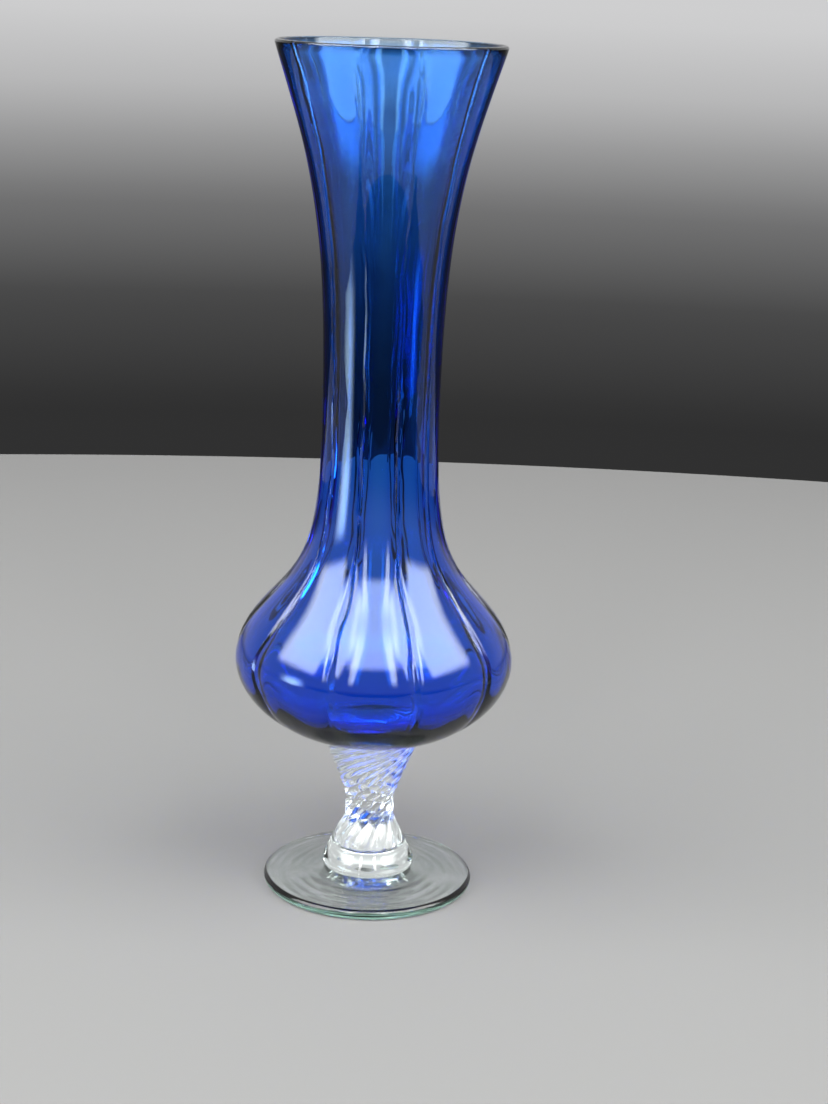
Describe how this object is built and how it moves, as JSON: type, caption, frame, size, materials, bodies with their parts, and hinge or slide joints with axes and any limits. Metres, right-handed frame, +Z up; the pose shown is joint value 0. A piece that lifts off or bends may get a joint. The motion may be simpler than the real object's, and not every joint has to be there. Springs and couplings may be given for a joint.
{
  "type": "bud vase",
  "caption": "Footed glass bud vase: a blue onion bulb with a slim neck and flared mouth on a clear twisted stem, a clear collar and a round clear foot.",
  "frame": {"origin": "centre of the foot's resting plane, under the vase's axis", "axes": "+Z up along the vase's axis of turning, from the foot to the mouth; X and Y are free, with one flat panel of the bowl facing -Y"},
  "size_m": [0.0718, 0.0718, 0.2172],
  "materials": {
    "blue_glass": "polished, transparent cobalt blue",
    "clear_glass": "polished, clear",
    "foot_glass": "polished, clear with a faint green tint"
  },
  "bodies": {
    "root": {"bowl": "blue_glass", "stem": "clear_glass", "collar": "clear_glass", "foot": "foot_glass"}
  },
  "joints": []
}
